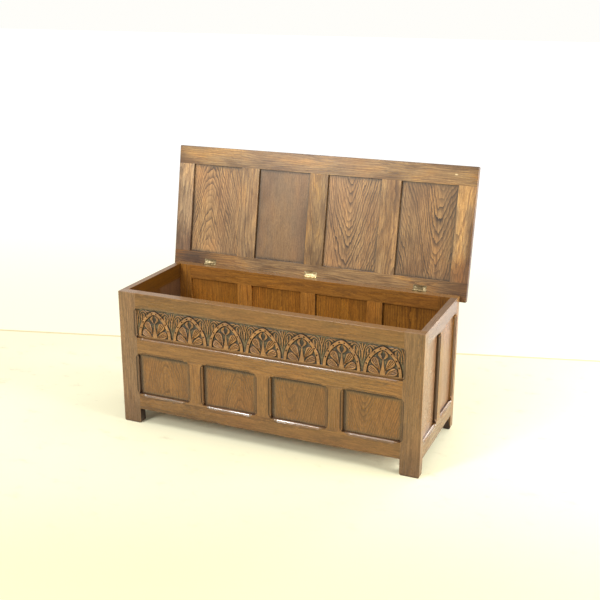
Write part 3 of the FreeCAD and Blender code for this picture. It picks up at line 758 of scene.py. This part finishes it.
def new_tree(name, sizes):
    """A tree from a piece to pieces, with its named sizes and a finish, its ways to add
    and to link nodes, its inputs and its end."""
    tree = bpy.data.node_groups.new(name, "GeometryNodeTree")
    sockets = (("Piece", "Geometry"), *sizes, ("Finish", "Material"))
    for label, kind in sockets:
        tree.interface.new_socket(label, in_out="INPUT", socket_type="NodeSocket" + kind)
    tree.interface.new_socket("Pieces", in_out="OUTPUT", socket_type="NodeSocketGeometry")
    given = tree.nodes.new("NodeGroupInput").outputs
    end = tree.nodes.new("NodeGroupOutput").inputs[0]
    return tree, tree.nodes.new, tree.links.new, given, end


def row_tree():
    """Repeats a piece in a row along the chest."""
    tree, add, link, given, end = new_tree("row of pieces", (
        ("Count", "Int"), ("Pitch", "Float"), ("Weld", "Float")))
    line, step = add("GeometryNodeMeshLine"), add("ShaderNodeCombineXYZ")
    place, real = add("GeometryNodeInstanceOnPoints"), add("GeometryNodeRealizeInstances")
    weld, paint = add("GeometryNodeMergeByDistance"), add("GeometryNodeSetMaterial")
    link(given["Count"], line.inputs["Count"])
    link(given["Pitch"], step.inputs[0])
    link(step.outputs[0], line.inputs["Offset"])
    link(line.outputs[0], place.inputs["Points"])
    link(given["Piece"], place.inputs["Instance"])
    link(place.outputs[0], real.inputs[0])
    link(real.outputs[0], weld.inputs["Geometry"])
    link(given["Weld"], weld.inputs["Distance"])
    link(weld.outputs[0], paint.inputs["Geometry"])
    link(given["Finish"], paint.inputs["Material"])
    link(paint.outputs[0], end)
    return tree


def with_tree(piece, tree, **values):
    """The plain mesh that a tree makes of a piece; the piece itself goes."""
    modifier = piece.modifiers.new("tree", "NODES")
    modifier.node_group = tree
    for item in tree.interface.items_tree:
        if item.item_type == "SOCKET" and item.name in values:
            modifier[item.identifier] = values[item.name]
    mesh = baked(piece)
    bpy.data.objects.remove(piece)
    return mesh


carved = Finish("carved oak")
ground_stain_and_shade = carved.attribute("hollow")
carved_grain = carved.attribute("grain", 1)
carved_fibre = carved.noise(carved_grain, detail=3, roughness=0.65,
                            stretch=(10, 230, 230))
carved_ticks = carved.noise(carved_grain, stretch=(62, 1300, 1300))
carved_pores = carved_ticks.between(0.58, 0.72)
lit = carved.attribute("height").between(0.5, 3.0)
mottle = carved.noise(carved_grain, 110.0, 3)
patchy = carved.noise(carved_grain, 22.0, 2)
carved.colour = carved.mix(carved_fibre.between(0.3, 0.7), stain(139, 97, 53),
                           stain(174, 128, 78))
carved.lay(patchy.between(0.35, 0.7) * 0.6, stain(122, 88, 56))
carved.lay(carved_pores * 0.5, stain(104, 66, 36))
sunk = carved.mix(mottle.between(0.35, 0.7), stain(78, 70, 50), stain(120, 102, 74))
carved.colour = carved.mix(lit, sunk, carved.colour)
# Dark stain in the hollows, and painted shade along the arch bands.
carved.lay(ground_stain_and_shade.between(0.06, 0.55) * 0.94, stain(42, 32, 22))
carved_oak = carved.surface(
    Base_Color=carved.colour,
    Roughness=0.34 + 0.25 * ground_stain_and_shade,
    Normal=carved.bump(1 - carved_pores, 0.25, 0.0003))

frieze_mesh = with_tree(arch, row_tree(), Count=arches, Pitch=pitch / mm,
                        Weld=weld_reach, Finish=carved_oak)
board = bmesh.new()
board.from_mesh(frieze_mesh)
face_y = chest_front + ground_depth
shift = Vector((field_left + pitch / 2 / mm, face_y, field_foot))
bmesh.ops.translate(board, verts=board.verts, vec=shift)
skirt = [e for e in board.edges if e.is_boundary]
low_x, high_x = (pick(v.co.x for v in board.verts) for pick in (min, max))
low_z, high_z = (pick(v.co.z for v in board.verts) for pick in (min, max))
for out, depth in ((0, face_y), (board_tongue, face_y), (0, face_y + board_thickness)):
    grown = {}
    for v in (v for e in skirt for v in e.verts if v not in grown):
        x, _, z = v.co
        x += out * ((x > high_x - on_plane) - (x < low_x + on_plane))
        z += out * ((z > high_z - on_plane) - (z < low_z + on_plane))
        grown[v] = board.verts.new((x, depth, z), v)
    for i, e in enumerate(skirt):
        a, b = e.verts
        board.faces.new((a, b, grown[b], grown[a]), e.link_faces[0])
        skirt[i] = board.edges.get((grown[a], grown[b]))
bmesh.ops.holes_fill(board, edges=skirt, sides=0)
bmesh.ops.recalc_face_normals(board, faces=board.faces)
board.to_mesh(frieze_mesh)
board.free()
spots = points_of(frieze_mesh)
from_left = (spots[:, 0] - field_left) * mm
from_middle = np.abs((from_left % pitch) - pitch / 2)
column = np.clip(from_middle / (pitch / 2) * columns, 0, columns).round().astype(int)
above = (spots[:, 2] - field_foot) * mm
row = np.clip((above - up_line[0]) / (up_line[-1] - up_line[0]) * rows, 0, rows)
row = row.round().astype(int)
mark(frieze_mesh, "hollow", hollow[row, column], "POINT")
mark(frieze_mesh, "height", (face_y - spots[:, 1]) * mm, "POINT")
mark_grain(frieze_mesh, long_way, up_way, (0.02, 0.07), 0.01, 0, 0)
noise.seed_set(hand_seed)
on_field = np.minimum(spots[:, 0] - low_x, high_x - spots[:, 0]) > border_width
on_field &= np.minimum(spots[:, 2] - low_z, high_z - spots[:, 2]) > border_width
for index in np.flatnonzero(on_field & (spots[:, 1] < face_y - 0.0001)):
    wander = noise.noise_vector(Vector(spots[index]) * hand_scale) * hand_wander
    frieze_mesh.vertices[int(index)].co += Vector((wander.x, 0, wander.z))
frieze_mesh.shade_smooth()
frieze_mesh.set_sharp_from_angle(angle=math.radians(60))
frieze = in_scene("carved_frieze", frieze_mesh)
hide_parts("carved_frieze_panel")
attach(frieze, "chest")


# -------- side and back walls
# The same oak framing round two tall panels in each side and four in the back.  The side
# rails are tenoned into the corner stiles.
side_rails = {"top_rail": (-0.12, -0.3), "bottom_rail": (-0.08, 0.0)}
for hand in ("left", "right"):
    for name, (tone, warmth) in side_rails.items():
        timber(f"{hand}_side_{name}", deep_way, up_way, tone=tone,
               warmth=warmth if hand == "right" else 0.12)
    timber(f"{hand}_side_muntin", up_way, deep_way, tone=-0.16, warmth=0.16)
    for name in ("front_panel", "back_panel"):
        timber(f"{hand}_side_{name}", up_way, deep_way, tone=0.06, warmth=-0.14,
               finish=oak_panel)
for name in ("back_top_rail", "back_bottom_rail"):
    timber(name, long_way, up_way)
for name in ("back_left_stile", "back_right_stile",
             "back_muntin_1", "back_muntin_2", "back_muntin_3"):
    timber(name, up_way, long_way, tone=0.2 * ("muntin" in name))
for i in range(4):
    timber(f"back_panel_{i + 1}", up_way, long_way, finish=oak_panel)


# -------- floor of the chest
# A sheet of stained birch plywood dropped onto four softwood cleats that are glued and
# pinned along the bottom of the walls.
birch = wood("stained plywood", pale=(168, 124, 78), deep=(146, 102, 60),
             line=(122, 82, 48), pore=(110, 74, 44), ring=0.022, figure=0.35,
             gloss=0.55)
pine = wood("planed softwood", pale=(196, 150, 98), deep=(172, 124, 74),
            line=(132, 86, 48), pore=(120, 80, 46), ring=0.004, figure=0.6,
            gloss=0.6)
timber("floor_board", long_way, deep_way, (0.1, 0.25), 0.08, finish=birch)
for name in ("front_floor_cleat", "back_floor_cleat"):
    timber(name, long_way, up_way, finish=pine)
for name in ("left_floor_cleat", "right_floor_cleat"):
    timber(name, deep_way, up_way, finish=pine)


# -------- lid
# A frame of two long rails, two end stiles and three muntins round four boards of
# strongly figured crown-cut oak.  It stands thrown open, leaning back past upright.
swing = frame["joints"][0]
pin_axis = Vector(swing["pos_m"])
open_turn = Matrix.Rotation(-math.radians(swing["range_deg"][1]), 3, "X")
lid_deep, lid_thick = open_turn @ deep_way, open_turn @ up_way
measure_body("lid", (long_way, lid_deep, lid_thick))
oak_lid = wood("waxed oak lid frame", pale=(184, 149, 102), deep=(138, 106, 70),
               line=(84, 58, 36), pore=(60, 42, 27), ring=0.008, figure=0.9,
               mottled=0.2, clouded=0.9, wild=5.0, darker_span=(0.3, 0.58))
figured = wood("figured oak", pale=(185, 145, 96), deep=(134, 100, 64),
               line=(52, 34, 21), pore=(46, 32, 20), ring=0.0088, figure=1.3,
               mottled=0.2, clouded=0.45, wild=5.0, framed=0.0)
lid_rails = {
    "lid_front_rail": ((0.01, 0.012), 0.05, -0.05),
    "lid_back_rail": ((-0.015, 0.014), -0.06, 0.0)}
for name, (heart, taper, tone) in lid_rails.items():
    timber(name, long_way, lid_deep, heart, taper, tone, 0.05, finish=oak_lid)
lid_uprights = {
    "lid_left_stile": ((-0.03, 0.05), 0.03, 0.16, -0.12),
    "lid_right_stile": ((-0.02, 0.014), 0.12, 0.14, 0.0),
    "lid_muntin_1": ((0.04, 0.05), 0.02, 0.06, 0.0),
    "lid_muntin_2": ((0.005, 0.01), 0.1, -0.04, 0.08),
    "lid_muntin_3": ((-0.03, 0.06), 0.02, 0.16, 0.03)}
for name, (heart, taper, tone, warmth) in lid_uprights.items():
    timber(name, lid_deep, long_way, heart, taper, tone, warmth, oak_lid)
plain = wood("plain quartered oak", pale=(164, 130, 92), deep=(134, 103, 70),
             line=(96, 70, 46), pore=(66, 46, 30), ring=0.0042, figure=0.4,
             mottled=0.5, clouded=0.5, framed=0.0)
lid_boards = {
    "lid_panel_1": ((-0.026, 0.016), -0.27, 0.26, figured),
    "lid_panel_2": ((-0.22, 0.1), 0.01, -0.2, plain),
    "lid_panel_3": ((-0.016, 0.014), 0.24, 0.22, figured),
    "lid_panel_4": ((0.05, 0.016), 0.27, -0.06, figured)}
for name, (heart, taper, tone, finish) in lid_boards.items():
    timber(name, lid_deep, long_way, heart, taper, tone, finish=finish)


# -------- hinges
# Three pressed brass butts, 51 mm long, let in flush: one leaf and one knuckle on the
# carcase, one leaf and two knuckles on the lid.  Lacquered, a little dulled.
brass = Finish("dulled brass")
where = brass.node("TexCoord", {}, {}, 3)
smear = brass.noise(where, 60.0, 4)
scuff = brass.noise(where, stretch=(40, 900, 900))
brass.colour = brass.mix(smear.between(0.35, 0.7), stain(200, 182, 142),
                         stain(150, 130, 94))
# The two outer hinges are coloured darker than the middle one.
brass.lay(0.55 * brass.attribute("outer_darker"), stain(92, 78, 56))
brass_metal = brass.surface(
    Base_Color=brass.colour, Metallic=1.0,
    Roughness=0.3 + 0.18 * smear,
    Normal=brass.bump(scuff, 0.08, 0.0002))
leaf_ease, metal_angle = 0.00025, math.radians(30)
for hand in ("left", "middle", "right"):
    for part in ("body_leaf", "lid_leaf"):
        node = f"{hand}_hinge_{part}"
        leaf_mesh = as_mesh(whole_faces(node), node)
        leaf_mesh.materials.append(brass_metal)
        leaf_mesh.shade_smooth()
        leaf_mesh.set_sharp_from_angle(angle=metal_angle)
        outer_darker = float(hand != "middle")
        mark(leaf_mesh, "outer_darker", [outer_darker] * len(leaf_mesh.vertices), "POINT")
        leaf = in_scene(f"{node}.finished", leaf_mesh)
        ease = leaf.modifiers.new("ease", "BEVEL")
        ease.width = leaf_ease
        ease.segments = 2
        ease.limit_method = "ANGLE"
        ease.angle_limit = math.radians(60)
        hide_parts(node)
        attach(leaf, frame["nodes"][node]["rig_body"])


# -------- pins and screws
# A turned brass pin through each hinge, and two slotted countersunk brass screws in each
# leaf, driven home with their slots left as they came.
first_x, last_x = (sum(corner.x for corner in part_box(f"{hand}_hinge_body_leaf")) / 2
                   for hand in ("left", "right"))
hinge_pitch = (last_x - first_x) / 2
pin_length, pin_radius, pin_dome, pin_end = 0.051, 0.0015, 0.0004, 0.6
screw_gap, screw_reach, half_gap = 0.031, 0.0115, 0.0003
head_radius, head_depth = 0.0028, 0.0015
shank_radius, screw_length = 0.0014, 0.015
slot_width, slot_depth = 0.0008, 0.0006


def turned_piece(name, profile, around=28):
    """A solid of revolution about Z from (radius, height) points, bottom to top."""
    work = bmesh.new()
    loops = [[work.verts.new((radius * math.cos(a), radius * math.sin(a), height))
              for a in np.linspace(0, 2 * math.pi, around, endpoint=False)]
             for radius, height in profile]
    for low, high in zip(loops, loops[1:]):
        for k in range(around):
            m = (k + 1) % around
            work.faces.new((low[k], low[m], high[m], high[k]))
    work.faces.new(loops[0][::-1])
    work.faces.new(loops[-1])
    return in_scene(name, as_mesh(work, name))


def placed(mesh, node):
    """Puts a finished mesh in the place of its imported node."""
    mesh.shade_smooth()
    mesh.set_sharp_from_angle(angle=metal_angle)
    piece = in_scene(f"{node}.finished", mesh)
    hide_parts(node)
    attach(piece, frame["nodes"][node]["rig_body"])


pin = turned_piece("pin", [(pin_radius * pin_end, -pin_length / 2),
                           (pin_radius, -pin_length / 2 + pin_dome),
                           (pin_radius, pin_length / 2 - pin_dome),
                           (pin_radius * pin_end, pin_length / 2)])
pin.data.transform(Matrix.Rotation(math.pi / 2, 4, "Y"))
pins = with_tree(pin, row_tree(), Count=3, Pitch=hinge_pitch, Weld=0.0,
                 Finish=brass_metal)
pins.transform(Matrix.Translation((first_x, pin_axis.y, pin_axis.z)))
placed(pins, "hinge_pins")


def screw_tree():
    """Two screws to a hinge, a row of hinges, each screw turned at random."""
    tree, add, link, given, end = new_tree("hinge screws", (
        ("Hinges", "Int"), ("Pitch", "Float"), ("Gap", "Float"), ("Seed", "Int")))
    row, pair = add("GeometryNodeMeshLine"), add("GeometryNodeMeshLine")
    pair.inputs["Count"].default_value = 2
    row_step, pair_step = add("ShaderNodeCombineXYZ"), add("ShaderNodeCombineXYZ")
    spread, drive = (add("GeometryNodeInstanceOnPoints") for _ in range(2))
    points, real = (add("GeometryNodeRealizeInstances") for _ in range(2))
    turn, paint = add("FunctionNodeRandomValue"), add("GeometryNodeSetMaterial")
    turn.data_type = "FLOAT_VECTOR"
    turn.inputs[1].default_value = (0, 0, math.pi)
    link(given["Hinges"], row.inputs["Count"])
    link(given["Pitch"], row_step.inputs[0])
    link(row_step.outputs[0], row.inputs["Offset"])
    link(given["Gap"], pair_step.inputs[0])
    link(pair_step.outputs[0], pair.inputs["Offset"])
    link(row.outputs[0], spread.inputs["Points"])
    link(pair.outputs[0], spread.inputs["Instance"])
    link(spread.outputs[0], points.inputs[0])
    link(points.outputs[0], drive.inputs["Points"])
    link(given["Piece"], drive.inputs["Instance"])
    link(given["Seed"], turn.inputs["Seed"])
    link(turn.outputs[0], drive.inputs["Rotation"])
    link(drive.outputs[0], real.inputs[0])
    link(real.outputs[0], paint.inputs["Geometry"])
    link(given["Finish"], paint.inputs["Material"])
    link(paint.outputs[0], end)
    return tree


screw_profile = [(0.0003, -screw_length), (shank_radius * 0.8, -screw_length + 0.003),
                 (shank_radius, -screw_length + 0.004), (shank_radius, -head_depth),
                 (head_radius, 0.0)]
driver_slot = bmesh.new()
bmesh.ops.create_cube(driver_slot, size=1.0, matrix=Matrix.Diagonal(
    (slot_width, 3 * head_radius, 2 * slot_depth, 1)))
slot_block = in_scene("driver slot", as_mesh(driver_slot, "driver slot"))
body_place = Matrix.Translation((first_x - screw_gap / 2, pin_axis.y - screw_reach,
                                 pin_axis.z - half_gap))
lid_place = (Matrix.Translation(pin_axis) @ open_turn.to_4x4()
             @ Matrix.Translation((first_x - screw_gap / 2, -screw_reach, half_gap))
             @ Matrix.Rotation(math.pi, 4, "X"))
for node, place, seed in (("body_hinge_screws", body_place, 3),
                          ("lid_hinge_screws", lid_place, 8)):
    screw = turned_piece("screw", screw_profile)
    cut = screw.modifiers.new("slot", "BOOLEAN")
    cut.operation = "DIFFERENCE"
    cut.object = slot_block
    cut.solver = "EXACT"
    screws = with_tree(screw, screw_tree(), Hinges=3, Pitch=hinge_pitch, Gap=screw_gap,
                       Seed=seed, Finish=brass_metal)
    screws.transform(place)
    placed(screws, node)
bpy.data.objects.remove(slot_block)


# -------- the room
# A plain cream floor that ends at the wall in a thin painted shadow line, white
# surroundings, soft light from overhead, two tall panes to the front and left and broad
# pale windows to the right and the back.
floor_half = 30.0
wall_line, wall_slope, wall_foot_shadow = 0.81, 0.274, 0.019
sky_light, sky_colour = 0.46, (1.0, 0.99, 0.95, 1)
floor_mesh = bpy.data.meshes.new("floor")
floor_mesh.from_pydata([(x * floor_half, y * floor_half, 0) for x, y in (
    (-1, -1), (1, -1), (1, 1), (-1, 1))], [], [(0, 1, 2, 3)])
floor = in_scene("floor", floor_mesh)
ground = Finish("cream floor")
spot = ground.node("TexCoord", {}, {}, 3)
east, north, _ = ground.axes(spot)
beyond = north - wall_slope * east - wall_line
far_off = (east * east + north * north).between(6.5, 16.0)
past_wall = beyond.between(0.0, 0.01)
past_wall = past_wall + (1 - past_wall) * far_off
ground.colour = ground.mix(ground.noise(spot, 2.0, 3), stain(251, 246, 209),
                           stain(253, 249, 219))
scuffs = ground.noise(spot, detail=6, roughness=0.7, stretch=(9, 16, 1))
ground.lay(scuffs.between(0.56, 0.74) * 0.5, stain(214, 206, 168))
ground.lay(1 - (north - 0.35 * east).between(-1.25, -0.1), stain(246, 238, 179))
# A painted shadow line along the foot of the wall.
ground.lay((1 - abs(beyond).between(0.004, wall_foot_shadow)) * 0.85, stain(224, 202, 146))
ground.lay(past_wall, stain(90, 90, 90))
glow = (1 - beyond.between(0.0, 3.2)) * (1 - east.between(0.2, 1.0))
white = ground.mix(glow, stain(250, 250, 250), stain(250, 250, 216))
floor_mesh.materials.append(ground.surface(
    Base_Color=ground.colour, Roughness=0.8, Emission_Strength=1.0,
    Emission_Color=ground.mix(past_wall, stain(0, 0, 0), white)))


def hung(label, kind, energy, place, target):
    """A lamp that hangs at a place and shines at a target."""
    lamp = bpy.data.lights.new(label, kind)
    lamp.energy = energy
    holder = in_scene(label, lamp)
    holder.location = place
    way = Vector(target) - Vector(place)
    holder.rotation_euler = way.to_track_quat("-Z", "Y").to_euler()
    return lamp


hung("overhead", "SUN", 0.55, (0.1, -0.5, 3.2), (0, 0, 0)).angle = math.radians(40)
for label, place, wide, tall, power in (
        ("broad pane", (-2.0, -4.1, 2.9), 0.66, 1.8, 95),
        ("narrow pane", (-1.5, -4.15, 2.9), 0.22, 1.8, 35),
        ("skylight", (-1.0, -1.5, 4.2), 1.8, 1.6, 30),
        ("right window", (4.2, 0.1, 1.3), 3.0, 1.8, 255),
        ("back window", (2.6, 4.6, 2.6), 2.0, 1.8, 70)):
    lamp = hung(label, "AREA", power, place, (0, 0, 0.35))
    lamp.shape = "RECTANGLE"
    lamp.size, lamp.size_y = wide, tall
sky = Finish("surroundings", bpy.data.worlds)
shown = sky.node("LightPath", {}, {}, "Is Camera Ray")
for other in ("Is Glossy Ray", "Is Transmission Ray"):
    shown = shown.worked("MAXIMUM", sky.node("LightPath", {}, {}, other))
strength = sky.node("MapRange", {}, {0: shown, "To Min": sky_light, "To Max": 1.0})
bpy.context.scene.world = sky.ended(sky.node("Background", {}, {
    "Color": sky_colour, "Strength": strength}), "OutputWorld")
bpy.context.scene.view_settings.view_transform = "Standard"
